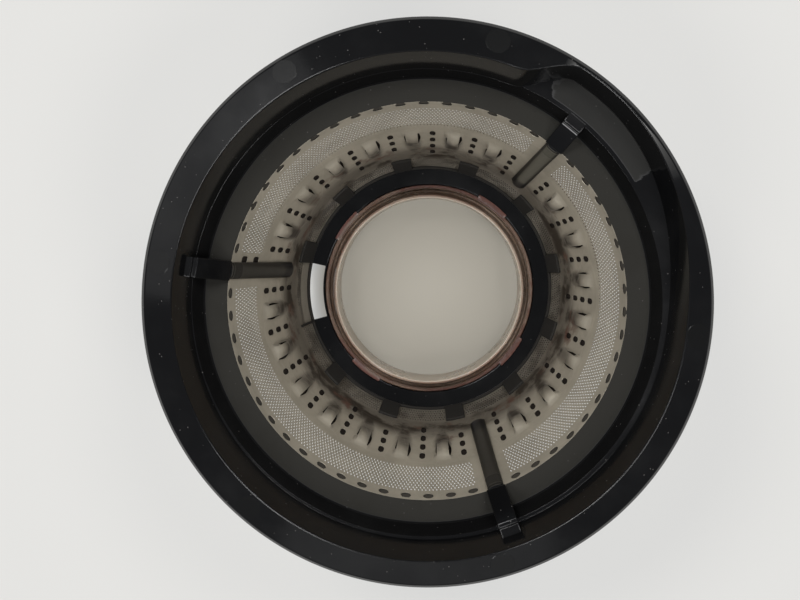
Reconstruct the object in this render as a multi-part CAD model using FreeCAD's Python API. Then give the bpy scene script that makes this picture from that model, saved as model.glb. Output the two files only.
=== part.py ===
import FreeCAD, Part
import math
import os

# Strainer of an upright juicer: a black moulded basket, the perforated steel cone
# that is moulded into it, and the soft ring that seals its centre hole.
# Millimetres, +Z up. The basket stands on its foot with the wide mouth upwards;
# the origin lies on the axis, in the plane of the foot.

# Heights of the moulding, stacked from the foot upwards
foot_height = 14.0        # foot to the top of the floor
screen_height = 62.5      # floor to the ledge round the cone's wide end
collar_height = 14.6      # ledge to the flange's inner edge
flange_drop = 2.1         # fall of the flange's face towards its outer edge

# Radii of the moulding, stacked from the steel cone outwards
screen_bottom_r = 34.8    # inside of the steel at the floor
screen_top_r = 46.6       # inside of the steel at the ledge
ledge_width = 5.3
collar_flare = 4.9        # how far the collar's wall leans out over its height
collar_step = 0.4         # fine step round the collar, level with the pocket's floor
flange_width = 7.2

# Walls and edges of the moulding
cage_wall = 1.6
collar_wall = 2.4
ledge_thickness = 2.4
flange_edge = 2.6
flange_chamfer = 0.8
floor_thickness = 2.5
foot_step = 1.5           # how far the foot stands out from the cage above it
foot_wall = 2.2
foot_chamfer = 0.6

# Steel cone
sheet = 0.4
sheet_fit = 0.05          # gap between the steel and the plastic round it
lock_hole_count = 54
lock_hole_size = 2.2
lock_hole_drop = 1.6      # hole centres below the steel's upper edge
mesh_drop = 5.4           # ledge to the upper edge of the fine band
mesh_height = 14.8
hoop_gap = 5.0            # fine band to the cage's hoop below it
mesh_margin = 5.6         # degrees of plain steel on either side of a rib's middle
slit_pitch = 8.0          # degrees
slit_width = 2.4
window_rise = 0.9         # floor to the lower edge of the low windows
window_height = 10.2
window_count = 12
window_width = 21.5       # degrees
window_middle = 6.3       # direction of the first low window, degrees
window_slits = 2
post_wall = 0.8           # plastic posts inside the steel, between the low windows

# Grinding zone of the cone, between the fine band and the low windows
bump_pitch = 15.0         # degrees
bump_width = 4.9
bump_top_gap = 4.3        # fine band to the bumps' upper ends
bump_low_gap = 10.9       # low windows to the bumps' lower ends
bump_rise = 1.5
bump_slope = 1.1          # how far each side of a bump leans in
slot_top_gap = 7.3        # fine band to the middle of the first row of slots
slot_low_gap = 5.5        # low windows to the middle of the last row
slot_rows = 4
slot_fill = 0.72          # a slot's length as a share of the rows' pitch
slot_width = 1.3

# Ribs inside the cone
rib_count = 3
rib_start = 60.0          # direction of the first rib, degrees
rib_width = 4.4
rib_rise = 2.6            # how far a rib stands off the steel at its bend
rib_low_gap = 17.0        # floor to a rib's lower end
rib_nose = 3.0            # height of the slope at its lower end
rib_nose_rise = 1.65      # how far it stands off the steel there
rib_bend = 12.0           # nose to the bend, below which the rib stands nearly upright
head_width = 4.8          # thicker head that braces the collar on the ledge
head_foot = 0.9           # ledge to where the head meets the bar's crown
crown_rise = 0.8          # how far the bar stands off the steel there
head_height = 9.7
head_top = 2.3            # width of the head's top in front of the collar's wall
rib_root_count = 2        # tongues that tie a rib to its upright through the steel
rib_root_width = 2.2
rib_root_length = 3.6
rib_root_bite = 1.0       # how far a tongue reaches into the plastic on either side
rib_root_gap = 7.0        # ledge to the middle of the first tongue
rib_root_pitch = 16.0
upright_width = 7.4       # degrees, behind each rib

# Pocket beside the collar
pocket_rim = 1.6          # flange left standing outside the pocket
pocket_depth = 9.0
pocket_offset = 18.0      # axis of the pocket's curved wall, off the main axis
pocket_direction = 60.0
pocket_from = 14.0        # directions of the pocket's two ends, degrees
pocket_to = 76.0
pocket_wall = 1.8

# Outlet through the floor
outlet_middle = 190.7     # degrees
outlet_width = 27.6       # degrees

# Sealing ring
seal_bore_r = 25.8
seal_wall = 2.4
seal_flange_reach = 1.4   # flange outside the ring's body
seal_flange_thickness = 1.5
seal_lip_height = 6.0     # lip above the floor
seal_lip_width = 0.9
seal_lip_chamfer = 0.4
seal_skirt = 9.0          # floor to the ring's lower end
seal_ridge = 0.9
seal_groove = 0.6
seal_fit = 0.1
lug_count = 4
lug_start = 61.8          # degrees
lug_width = 18.5          # degrees
lug_reach = 0.9
hub_wall = 1.9
hub_length = 9.5          # floor to the lower end of the wall round the ring

# Lengths that only reach past a wall in a cut
OVER = 2.0

UP = FreeCAD.Vector(0, 0, 1)
ORIGIN = FreeCAD.Vector(0, 0, 0)

# Levels and radii that follow from the sizes above
floor_z = foot_height
ledge_z = floor_z + screen_height
rim_z = ledge_z + collar_height
rim_edge_z = rim_z - flange_drop
ledge_outer_r = screen_top_r + ledge_width
collar_top_r = ledge_outer_r + collar_flare
rim_outer_r = collar_top_r + flange_width
taper = (screen_top_r - screen_bottom_r) / screen_height
lean = math.atan(taper)
sheet_across = sheet / math.cos(lean)
mesh_top_z = ledge_z - mesh_drop
mesh_low_z = mesh_top_z - mesh_height
window_low_z = floor_z + window_rise
window_top_z = window_low_z + window_height
rib_pitch = 360.0 / rib_count
pocket_z = rim_z - pocket_depth
seal_body_r = seal_bore_r + seal_wall
seal_flange_r = seal_body_r + seal_flange_reach
hub_inner_r = seal_body_r + seal_fit
hub_outer_r = hub_inner_r + hub_wall
recess_r = seal_flange_r + seal_fit
recess_z = floor_z - seal_flange_thickness


def steel_r(z):
    """Radius of the cone's inside at a height."""
    return screen_bottom_r + (z - floor_z) * taper


def back_r(z):
    """Radius of the cage's inside, just behind the steel."""
    return steel_r(z) + sheet_across + sheet_fit


def cage_r(z):
    """Radius of the cage's outside."""
    return back_r(z) + cage_wall


def point(r, z):
    return FreeCAD.Vector(r, 0, z)


def flat_face(corners):
    """Face inside a closed run of straight edges."""
    return Part.Face(Part.makePolygon(corners + corners[:1]))


def turned(corners, angle=360.0):
    """Solid of revolution about the axis from (r, z) corners, starting in the +X direction."""
    return flat_face([point(r, z) for r, z in corners]).revolve(ORIGIN, UP, angle)


def sector(r_in, r_out, z_low, z_high, middle, width):
    """Block between two radii, two heights and two directions."""
    corners = [(r_in, z_low), (r_out, z_low), (r_out, z_high), (r_in, z_high)]
    block = turned(corners, width)
    block.rotate(ORIGIN, UP, middle - width / 2)
    return block


def degrees_across(width, r):
    """Angle that a width takes up at a radius."""
    return math.degrees(width / r)


def wall_cut(z_low, z_high, middle, width):
    """Block that passes through the steel and the cage between two heights."""
    return sector(steel_r(z_low) - OVER, cage_r(z_high) + OVER, z_low, z_high, middle, width)


def steel_cut(z_low, z_high, middle, width):
    """Block that passes through the steel alone."""
    return sector(steel_r(z_low) - OVER, steel_r(z_high) + OVER, z_low, z_high, middle, width)


def rib_directions():
    return [rib_start + rib_pitch * index for index in range(rib_count)]


def rib_gap(direction):
    """Angle from a direction to the nearest rib."""
    turn = (direction - rib_start) % rib_pitch
    return min(turn, rib_pitch - turn)


def lock_hole_directions():
    """Directions of the locking holes, without those that the ribs cover."""
    pitch = 360.0 / lock_hole_count
    every = [rib_start + pitch * index for index in range(lock_hole_count)]
    return [middle for middle in every if rib_gap(middle) > pitch / 2]


def window_directions():
    """Directions of the low windows, without the one that the outlet takes."""
    pitch = 360.0 / window_count
    every = [window_middle + pitch * index for index in range(window_count)]
    return [middle for middle in every if abs(middle - outlet_middle) > pitch / 2]


def bump_directions():
    """Directions of the bumps, without those that the ribs cover."""
    every = [bump_pitch * index for index in range(round(360.0 / bump_pitch))]
    return [middle for middle in every if rib_gap(middle) > bump_pitch / 2]


def rib_root_levels():
    return [ledge_z - rib_root_gap - rib_root_pitch * index for index in range(rib_root_count)]


def frustum(low, high, width, rise_from, rise_to, lean_in, middle):
    """Four-sided pad on the steel: sides lean in from its foot to its crown."""
    rings = []
    for rise, inset in ((rise_from, 0.0), (rise_to, lean_in)):
        corners = []
        for z, side in ((low + inset, -1), (low + inset, 1), (high - inset, 1), (high - inset, -1)):
            corners.append(FreeCAD.Vector(steel_r(z) - rise, side * (width / 2 - inset), z))
        rings.append(corners)
    foot, crown = rings
    faces = [flat_face(foot), flat_face(crown)]
    for index in range(4):
        after = (index + 1) % 4
        faces.append(flat_face([foot[index], foot[after], crown[after], crown[index]]))
    pad = Part.Solid(Part.Shell(faces))
    pad.rotate(ORIGIN, UP, middle)
    return pad


def collar_r(z):
    """Inside of the collar's leaning wall, without its step."""
    return ledge_outer_r + collar_flare * (z - ledge_z) / collar_height


def slab(corners, width, middle):
    """Outline of (r, z) corners, extruded to a width and turned into its direction."""
    face = flat_face([FreeCAD.Vector(r, -width / 2, z) for r, z in corners])
    piece = face.extrude(FreeCAD.Vector(0, width, 0))
    piece.rotate(ORIGIN, UP, middle)
    return piece


def rib(middle):
    """Bar that rises off the steel towards its lower end, and the head that braces the collar.
    A head in the pocket ends level with the pocket's floor."""
    low_z = floor_z + rib_low_gap
    nose_z = low_z + rib_nose
    bend_z = nose_z + rib_bend
    foot_z = ledge_z + head_foot
    in_pocket = pocket_from < middle < pocket_to
    top_z = pocket_z if in_pocket else ledge_z + head_height
    crown = (screen_top_r - crown_rise, foot_z)
    bar = slab([
        (steel_r(low_z), low_z),
        (steel_r(nose_z) - rib_nose_rise, nose_z),
        (steel_r(bend_z) - rib_rise, bend_z),
        crown,
        (ledge_outer_r, foot_z),
        (ledge_outer_r, ledge_z),
        (steel_r(ledge_z), ledge_z),
    ], rib_width, middle)
    head = slab([
        (screen_top_r - sheet_fit, ledge_z),
        crown,
        (collar_r(top_z) - head_top, top_z),
        (collar_r(top_z) + collar_wall / 2, top_z),
        (ledge_outer_r + collar_wall / 2, ledge_z),
    ], head_width, middle)
    # The flat back of the bar is trimmed to the round of the steel.
    steel = turned([
        (steel_r(low_z - OVER) - sheet_fit, low_z - OVER),
        (steel_r(low_z - OVER) + OVER, low_z - OVER),
        (steel_r(ledge_z) + OVER, ledge_z),
        (steel_r(ledge_z) - sheet_fit, ledge_z),
    ])
    return [bar.cut(steel), head]


def rib_root(middle, z, gap):
    """Tongue through the steel, or the hole for it when the gap is the fit."""
    half = rib_root_length / 2 + gap
    width = degrees_across(rib_root_width + 2 * gap, steel_r(z))
    return sector(steel_r(z - half) - rib_root_bite, back_r(z + half) + rib_root_bite,
                  z - half, z + half, middle, width)


def collar_outer_r(z):
    """Outside of the collar's leaning wall."""
    return collar_r(z) + collar_wall


def collar_inside():
    """Section of the collar's inside, from the ledge up to the flange."""
    step_r = collar_r(pocket_z) - collar_step / 2
    return [(ledge_outer_r, ledge_z), (step_r, pocket_z), (step_r + collar_step, pocket_z), (collar_top_r, rim_z)]


def basket_body():
    """Flange, collar, ledge, conical cage, floor, hub and foot, turned in one section."""
    ledge_low_z = ledge_z - ledge_thickness
    flange_low_z = rim_edge_z - flange_edge
    flange_slope = flange_drop / flange_width
    foot_outer_r = cage_r(floor_z) + foot_step
    foot_inner_r = foot_outer_r - foot_wall
    floor_low_z = floor_z - floor_thickness
    return turned([
        (collar_top_r, rim_z),
        (rim_outer_r - flange_chamfer, rim_edge_z + flange_slope * flange_chamfer),
        (rim_outer_r, rim_edge_z - flange_chamfer),
        (rim_outer_r, flange_low_z),
        (collar_outer_r(flange_low_z), flange_low_z),
        (collar_outer_r(ledge_low_z), ledge_low_z),
        (cage_r(ledge_low_z), ledge_low_z),
        (cage_r(floor_z), floor_z),
        (foot_outer_r, floor_z),
        (foot_outer_r, foot_chamfer),
        (foot_outer_r - foot_chamfer, 0),
        (foot_inner_r, 0),
        (foot_inner_r, floor_low_z),
        (hub_outer_r, floor_low_z),
        (hub_outer_r, floor_z - hub_length),
        (hub_inner_r, floor_z - hub_length),
        (hub_inner_r, recess_z),
        (recess_r, recess_z),
        (recess_r, floor_z),
        (back_r(floor_z), floor_z),
        (back_r(ledge_z), ledge_z),
    ] + collar_inside()[:-1])


def pocket_block(grow, z_low, z_high):
    """Room of the pocket, or with a growth the wall round it."""
    reach = rim_outer_r - pocket_rim - pocket_offset + grow
    direction = math.radians(pocket_direction)
    centre = FreeCAD.Vector(pocket_offset * math.cos(direction), pocket_offset * math.sin(direction), z_low)
    drum = Part.makeCylinder(reach, z_high - z_low, centre)
    spread = degrees_across(grow, collar_top_r)
    middle = (pocket_from + pocket_to) / 2
    width = pocket_to - pocket_from + 2 * spread
    return drum.common(sector(ledge_outer_r, rim_outer_r, z_low, z_high, middle, width))


def posts():
    """Low ring inside the steel, open at the outlet; the windows cut it into posts."""
    ring = turned([
        (steel_r(floor_z) - sheet_fit - post_wall, floor_z),
        (steel_r(floor_z) - sheet_fit, floor_z),
        (steel_r(window_top_z) - sheet_fit, window_top_z),
        (steel_r(window_top_z) - sheet_fit - post_wall, window_top_z),
    ], 360.0 - outlet_width)
    ring.rotate(ORIGIN, UP, outlet_middle + outlet_width / 2)
    return ring


def make_frame():
    body = basket_body().fuse(posts())
    flange_low_z = rim_edge_z - flange_edge
    body = body.fuse(pocket_block(pocket_wall, pocket_z - pocket_wall, flange_low_z + flange_edge / 2))
    room = turned([(0, ledge_z)] + collar_inside() + [(collar_top_r, rim_z + OVER), (0, rim_z + OVER)])
    cuts = [room, pocket_block(0, pocket_z, rim_z + OVER)]
    for direction in rib_directions():
        middle = direction + rib_pitch / 2
        cuts.append(wall_cut(mesh_low_z - hoop_gap, mesh_top_z, middle, rib_pitch - upright_width))
    for middle in window_directions():
        cuts.append(wall_cut(window_low_z, window_top_z, middle, window_width))
    # The outlet passes the floor beside the hub and leaves the foot's wall open.
    cuts.append(sector(hub_outer_r, back_r(floor_z), recess_z - foot_height, floor_z + OVER,
                       outlet_middle, outlet_width))
    cuts.append(sector(hub_outer_r, cage_r(floor_z) + foot_step + OVER, -OVER, floor_z - floor_thickness,
                       outlet_middle, outlet_width))
    for index in range(lug_count):
        notch_width = lug_width + 2 * degrees_across(seal_fit, seal_flange_r)
        cuts.append(sector(hub_inner_r, recess_r + lug_reach, recess_z, floor_z + OVER,
                           lug_start + 360.0 / lug_count * index, notch_width))
    body = body.cut(cuts)
    adds = []
    for middle in rib_directions():
        adds.extend(rib(middle))
        for z in rib_root_levels():
            adds.append(rib_root(middle, z, 0))
    return body.fuse(adds).removeSplitter()


def make_screen():
    low_z = floor_z + sheet_fit
    cone = turned([
        (steel_r(low_z), low_z),
        (steel_r(low_z) + sheet_across, low_z),
        (steel_r(ledge_z) + sheet_across, ledge_z),
        (steel_r(ledge_z), ledge_z),
    ])
    bump_top = mesh_low_z - bump_top_gap
    bump_low = window_top_z + bump_low_gap
    pads = []
    for middle in bump_directions():
        pads.append(frustum(bump_low, bump_top, bump_width, -sheet / 2, bump_rise, bump_slope, middle))
    cone = cone.fuse(pads)
    cuts = []
    lock_z = ledge_z - lock_hole_drop
    width = degrees_across(lock_hole_size, steel_r(lock_z))
    for middle in lock_hole_directions():
        cuts.append(steel_cut(lock_z - lock_hole_size / 2, lock_z + lock_hole_size / 2, middle, width))
    slot_top = mesh_low_z - slot_top_gap
    slot_low = window_top_z + slot_low_gap
    slot_pitch = (slot_top - slot_low) / (slot_rows - 1)
    slot_half = slot_pitch * slot_fill / 2
    for group in range(round(360.0 / bump_pitch)):
        middle = bump_pitch * (group + 0.5)
        # Every second group has one slot less.
        for row in range(slot_rows - group % 2):
            z = slot_top - slot_pitch * row
            width = degrees_across(slot_width, steel_r(z))
            cuts.append(steel_cut(z - slot_half, z + slot_half, middle, width))
    for direction in rib_directions():
        span = rib_pitch - 2 * mesh_margin
        count = int(span / slit_pitch)
        width = degrees_across(slit_width, steel_r(mesh_low_z))
        for index in range(count):
            middle = direction + rib_pitch / 2 + slit_pitch * (index - (count - 1) / 2)
            cuts.append(steel_cut(mesh_low_z + sheet, mesh_top_z - sheet, middle, width))
    for window in window_directions():
        width = degrees_across(slit_width, steel_r(window_low_z))
        for index in range(window_slits):
            middle = window + window_width / window_slits * (index - (window_slits - 1) / 2)
            cuts.append(steel_cut(window_low_z + sheet, window_top_z - sheet, middle, width))
    for middle in rib_directions():
        for z in rib_root_levels():
            cuts.append(rib_root(middle, z, sheet_fit))
    return cone.cut(cuts)


def make_seal_ring():
    top_z = floor_z + seal_lip_height
    slope_r = seal_bore_r + seal_lip_width
    groove_r = seal_body_r + seal_groove / 2
    ring = turned([
        (seal_bore_r, floor_z - seal_skirt),
        (seal_body_r, floor_z - seal_skirt),
        (seal_body_r, recess_z),
        (seal_flange_r, recess_z),
        (seal_flange_r, floor_z),
        (groove_r + seal_groove / 2, floor_z),
        (groove_r, floor_z - seal_groove),
        (groove_r - seal_groove, floor_z + seal_ridge),
        (slope_r + seal_lip_width, floor_z + seal_ridge),
        (slope_r, top_z - seal_lip_chamfer),
        (slope_r - seal_lip_chamfer, top_z),
        (seal_bore_r, top_z),
    ])
    lugs = []
    for index in range(lug_count):
        lugs.append(sector(seal_body_r, seal_flange_r + lug_reach, recess_z, floor_z,
                           lug_start + 360.0 / lug_count * index, lug_width))
    lug_trim = turned([
        (0, recess_z - OVER),
        (seal_body_r + seal_groove, recess_z - OVER),
        (seal_body_r + seal_groove, floor_z + OVER),
        (0, floor_z + OVER),
    ])
    lugs = [lug.cut(lug_trim) for lug in lugs]
    return ring.fuse(lugs).removeSplitter()


def main():
    os.makedirs("parts", exist_ok=True)
    nodes = {
        "frame": make_frame(),
        "screen": make_screen(),
        "seal_ring": make_seal_ring(),
    }
    for name, shape in nodes.items():
        shape.exportStep("parts/" + name + ".step")
        box = shape.BoundBox
        print(name, "solids", len(shape.Solids), "valid", shape.isValid(),
              "volume", round(shape.Volume), "z", round(box.ZMin, 2), round(box.ZMax, 2))


main()
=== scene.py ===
# %% [markdown]
# # Strainer basket of an upright juicer
# The basket is a black moulding round a cone of perforated steel, with a soft ring in the hole of its
# floor. The solids come from the frame, in metres and in place. This lesson dresses them: it models the
# fine holes, pressed bumps and rounded edges that the solids only hint at, and then the finishes.

# %% Load the frame
import math
import bpy
import numpy as np
from mathutils import Matrix, Vector


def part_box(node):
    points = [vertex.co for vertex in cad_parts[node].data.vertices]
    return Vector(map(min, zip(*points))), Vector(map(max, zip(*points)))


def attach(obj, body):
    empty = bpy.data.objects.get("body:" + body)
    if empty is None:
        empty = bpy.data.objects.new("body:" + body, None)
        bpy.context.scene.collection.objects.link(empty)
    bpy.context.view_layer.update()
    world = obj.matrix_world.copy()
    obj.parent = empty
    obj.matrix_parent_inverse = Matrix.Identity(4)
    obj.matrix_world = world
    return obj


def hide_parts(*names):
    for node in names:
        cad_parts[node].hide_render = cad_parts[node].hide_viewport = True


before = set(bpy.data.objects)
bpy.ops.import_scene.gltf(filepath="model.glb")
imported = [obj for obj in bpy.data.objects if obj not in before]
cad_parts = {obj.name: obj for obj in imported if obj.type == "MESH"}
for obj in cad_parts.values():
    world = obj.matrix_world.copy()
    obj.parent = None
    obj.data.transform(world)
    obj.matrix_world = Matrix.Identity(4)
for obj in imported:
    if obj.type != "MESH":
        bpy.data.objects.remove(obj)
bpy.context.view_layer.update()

MM = 0.001


# %% [markdown]
# ## Measures
# The main levels and radii are read off the boxes of the three solids, so the dressing follows them.
# What a box can't tell, such as the lean of the steel or the width of the ledge, is named here once.
# Lengths are in millimetres and angles in degrees; MM makes metres of them where Blender is told.

# %% Levels and radii
_, frame_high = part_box("frame")
screen_low, screen_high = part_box("screen")
seal_low, seal_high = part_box("seal_ring")
SHEET_FIT = 0.05
RIM_R = frame_high[0] / MM
RIM, LEDGE = frame_high[2] / MM, screen_high[2] / MM
FLOOR = screen_low[2] / MM - SHEET_FIT
SEAL_TOP, SEAL_LOW = seal_high[2] / MM, seal_low[2] / MM
FLANGE_DROP, STEP_DROP, LEDGE_THICK = 2.1, 9.0, 2.4
EDGE, STEP, LEDGE_LOW = RIM - FLANGE_DROP, RIM - STEP_DROP, LEDGE - LEDGE_THICK
LEDGE_R, COLLAR_TOP_R, FLANGE_END_R = 51.9, 56.8, 63.1
STEEL_TOP_R, STEEL_LOW_R = 46.6, 34.8
STEEL_TAPER = (STEEL_TOP_R - STEEL_LOW_R) / (LEDGE - FLOOR)
STEEL_BACK = 0.45
RIBS, RIB_PITCH = [60.0, 180.0, 300.0], 120.0


def steel_r(z):
    """Inside radius of the steel at a height."""
    return STEEL_LOW_R + (z - FLOOR) * STEEL_TAPER


print("rim", round(RIM_R, 2), round(RIM, 2), "ledge", round(LEDGE, 2), "floor", round(FLOOR, 2))

# %% [markdown]
# ## Helpers for turned pieces
# Almost everything here is round. A turned piece starts as one vertex, which is extruded along its
# section and then spun about the axis, much as a lathe or a mould cavity shapes it. Corners get a radius
# before the spin, because a mould never leaves an edge quite sharp.

# %% Select, name and close a mesh
WELD = 0.002


def clear_selection():
    """Back to object mode with nothing selected."""
    if bpy.context.object is not None and bpy.context.object.mode != "OBJECT":
        bpy.ops.object.mode_set(mode="OBJECT")
    bpy.ops.object.select_all(action="DESELECT")


def choose(piece):
    """Makes a piece the active one and the only one selected."""
    clear_selection()
    piece.select_set(True)
    bpy.context.view_layer.objects.active = piece


def name_piece(name):
    """Names the active piece and its mesh."""
    piece = bpy.context.object
    piece.name = name
    piece.data.name = name
    return piece


def weld():
    """Merges points that coincide."""
    bpy.ops.mesh.select_all(action="SELECT")
    bpy.ops.mesh.remove_doubles(threshold=WELD * MM)


def close_mesh():
    """Welds doubles, points faces outwards and leaves edit mode."""
    weld()
    bpy.ops.mesh.normals_make_consistent(inside=False)
    bpy.ops.object.mode_set(mode="OBJECT")


# %% Draw a section and spin it
FULL_TURN = 2 * math.pi


def rounded(corners, points=5):
    """(r, z, radius) corners as a line of (r, z) points, each radius as a short arc."""
    line = []
    count = len(corners)
    for index, (r, z, radius) in enumerate(corners):
        here = Vector((r, z))
        if radius == 0:
            line.append(here)
            continue
        to_last = (Vector(corners[index - 1][:2]) - here).normalized()
        to_next = (Vector(corners[(index + 1) % count][:2]) - here).normalized()
        half = to_last.angle(to_next) / 2
        reach = radius / math.tan(half)
        middle = here + (to_last + to_next).normalized() * radius / math.sin(half)
        start = here + to_last * reach - middle
        sweep = start.angle_signed(here + to_next * reach - middle)
        for step in range(points):
            turn = -sweep * step / (points - 1)
            line.append(middle + Matrix.Rotation(turn, 2) @ start)
    return line


def draw_section(name, line):
    """Closed line of (r, z) points in the XZ plane, extruded vertex by vertex; stays in edit mode."""
    line = [Vector(point) * MM for point in line]
    clear_selection()
    bpy.ops.mesh.primitive_plane_add(size=MM, location=(0, 0, 0))
    piece = name_piece(name)
    bpy.ops.object.mode_set(mode="EDIT")
    bpy.ops.mesh.select_mode(type="VERT")
    bpy.ops.mesh.select_all(action="SELECT")
    bpy.ops.mesh.merge(type="CENTER")
    bpy.ops.transform.translate(value=(line[0][0], 0, line[0][1]))
    for last, new in zip(line, line[1:] + line[:1]):
        move = (new[0] - last[0], 0, new[1] - last[1])
        bpy.ops.mesh.extrude_vertices_move(TRANSFORM_OT_translate={"value": move})
    weld()
    return piece


def turned(name, line, steps):
    """Ring made by spinning a closed section once round the axis."""
    piece = draw_section(name, line)
    bpy.ops.mesh.spin(steps=steps, angle=FULL_TURN, center=(0, 0, 0), axis=(0, 0, 1))
    close_mesh()
    return piece


# %% Modifiers and shading
def apply_modifier(piece, kind, **settings):
    choose(piece)
    bpy.ops.object.modifier_add(type=kind)
    modifier = piece.modifiers[-1]
    for key, value in settings.items():
        setattr(modifier, key, value)
    bpy.ops.object.modifier_apply(modifier=modifier.name)


def bevel(piece, width, segments=2, turn=30):
    """Rounds the edges at which the surface turns by more than an angle."""
    apply_modifier(piece, "BEVEL", width=width * MM, segments=segments, limit_method="ANGLE",
                   angle_limit=math.radians(turn))


def smooth(piece, degrees=35):
    choose(piece)
    bpy.ops.object.shade_smooth_by_angle(angle=math.radians(degrees))


def even_shading(piece):
    """Lets large faces set the normals, so that bevels don't round them off."""
    apply_modifier(piece, "WEIGHTED_NORMAL", keep_sharp=True)


def report_piece(piece):
    faces = sum(len(face.vertices) - 2 for face in piece.data.polygons)
    print(piece.name, "triangles", faces)


# %% [markdown]
# ## Flange, collar and ledge
# The mouth is one turned ring: a flange that falls outwards, a collar that leans in, a fine step round it
# and the ledge that holds the steel's edge. Its wall isn't quite round: it winds in slowly and opens into
# a pocket on one side. So the ring is spun round first, and then the points above the step are pushed
# outwards by an amount that depends on their direction.

# %% Spin the mouth
BACK_R = steel_r(LEDGE) + STEEL_BACK
STEP_IN_R, STEP_OUT_R = 53.75, 54.15
FLANGE_LOW, FLANGE_ROUND = EDGE - 2.6, 0.25
mouth_section = rounded([
    (BACK_R - 0.42, LEDGE, 0),  # the ledge, from the steel's edge to the foot of the collar
    (LEDGE_R, LEDGE, 1.6),
    (STEP_IN_R, STEP, 0.06),  # the fine step
    (STEP_OUT_R, STEP, 0.1),
    (COLLAR_TOP_R, RIM, 0.3),  # the flange, falling outwards
    (FLANGE_END_R, EDGE + FLANGE_ROUND, 1.0),
    (RIM_R, EDGE - 1.0, 0.7),
    (RIM_R, FLANGE_LOW, 0.5),
    (58.1, FLANGE_LOW, 0.4),  # the back of the collar
    (56.25, STEP - 1.75, 0),
    (56.2, STEP - 1.8, 0),
    (53.5, LEDGE_LOW, 0.8),
    (BACK_R + 1.8, LEDGE_LOW, 0),  # the groove that grips the steel
    (BACK_R - 0.4, LEDGE_LOW, 0),
    (BACK_R - 0.1, LEDGE - 0.3, 0),
    (BACK_R - 0.42, LEDGE - 0.25, 0),
])
mouth = turned("mouth", mouth_section, steps=360)
report_piece(mouth)

# %% Open the pocket and wind the wall
POCKET_PEAK, POCKET_STEEPER = 5.3, 0.22
POCKET_FROM, POCKET_FULL = 2.0, 58.0
POCKET_EDGE, POCKET_END = 65.5, 78.0
POCKET_OUTER = RIM_R - 0.25
WIND_IN, WIND_OUT = -0.9, 0.8
# Where the collar's face and its back lie before they are moved.
FACE_LOW, FACE_RADII = STEP - 0.3, (STEP_OUT_R - 0.2, 58.0)
BACK_HEIGHTS, BACK_RADII = (STEP - 1.77, EDGE - 2), (56.2, 59.0)


def ease(low, high, value):
    """Smooth step from 0 at low to 1 at high."""
    share = np.clip((value - low) / (high - low), 0, 1)
    return share * share * (3 - 2 * share)


def within(values, low, high):
    return (values > low) & (values < high)


def wall_shift(degrees):
    """How far the collar's wall stands out of round in each direction."""
    past_edge = ease(POCKET_EDGE, POCKET_END, degrees)
    pocket = ease(POCKET_FROM, POCKET_FULL, degrees) * (1 - past_edge)
    turn = ((degrees - POCKET_END) % 360) / (360 - POCKET_END)
    wind = WIND_IN + (WIND_OUT - WIND_IN) * np.clip(turn, 0, 1)
    at_pocket = (degrees >= 0) & (degrees < POCKET_END)
    wind = np.where(at_pocket, WIND_OUT + (WIND_IN - WIND_OUT) * past_edge, wind)
    return pocket * (POCKET_PEAK - WIND_OUT) + wind


def read_points(piece):
    points = np.empty(len(piece.data.vertices) * 3)
    piece.data.vertices.foreach_get("co", points)
    return points.reshape(-1, 3) / MM


def write_points(piece, points):
    piece.data.vertices.foreach_set("co", (points * MM).ravel())
    piece.data.update()


points = read_points(mouth)
radius = np.hypot(points[:, 0], points[:, 1])
degrees = np.degrees(np.arctan2(points[:, 1], points[:, 0])) % 360
height = points[:, 2]
wall_in = (height > FACE_LOW) & within(radius, *FACE_RADII)
wall_out = within(height, *BACK_HEIGHTS) & within(radius, *BACK_RADII)
shift = wall_shift(degrees)
# The pocket's wall stands steeper than the collar's, so its foot moves further.
foot_share = 1 + POCKET_STEEPER * np.clip((RIM - height) / (RIM - STEP), 0, 1)
deepened = np.where(shift > WIND_OUT, WIND_OUT + (shift - WIND_OUT) * foot_share, shift)
grown = np.where(wall_in, radius + deepened, radius)
grown = np.where(wall_out, np.clip(radius + np.maximum(shift, 0), 0, POCKET_OUTER), grown)
points[:, :2] *= (grown / radius)[:, None]
write_points(mouth, points)
smooth(mouth, 40)
even_shading(mouth)
print("wall shift in mm from", round(shift.min(), 2), "to", round(shift.max(), 2))

# %% [markdown]
# ## Cage round the steel
# Outside the steel stands an open cage: uprights behind the ribs, a hoop and a row of low windows. It
# could be cut with booleans, but a sheet rolled from a grid whose lines already lie on the window edges
# keeps clean quads: the window faces are deleted, and Solidify and Bevel make the wall.

# %% Grid helpers
def fill_gaps(values, widest):
    """Sorted values with the gaps between them split evenly."""
    values = sorted(values)
    line = [values[0]]
    for value in values[1:]:
        count = max(1, math.ceil((value - line[-1]) / widest))
        start = line[-1]
        line.extend(start + (value - start) * part / count for part in range(1, count + 1))
    return line


def flat_grid(name, columns, rows):
    """Grid in the XY plane whose lines lie at the given columns and rows."""
    clear_selection()
    bpy.ops.mesh.primitive_grid_add(x_subdivisions=len(columns) - 1, y_subdivisions=len(rows) - 1,
                                    size=2 * MM)
    piece = name_piece(name)
    points = read_points(piece)
    across = np.rint((points[:, 0] + 1) / 2 * (len(columns) - 1)).astype(int)
    along = np.rint((points[:, 1] + 1) / 2 * (len(rows) - 1)).astype(int)
    points[:, 0] = np.array(columns)[across]
    points[:, 1] = np.array(rows)[along]
    write_points(piece, points)
    return piece


def face_middles(piece):
    """Column and row of the middle of every face."""
    middles = np.empty(len(piece.data.polygons) * 3)
    piece.data.polygons.foreach_get("center", middles)
    middles = middles.reshape(-1, 3) / MM
    return middles[:, 0], middles[:, 1]


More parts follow.
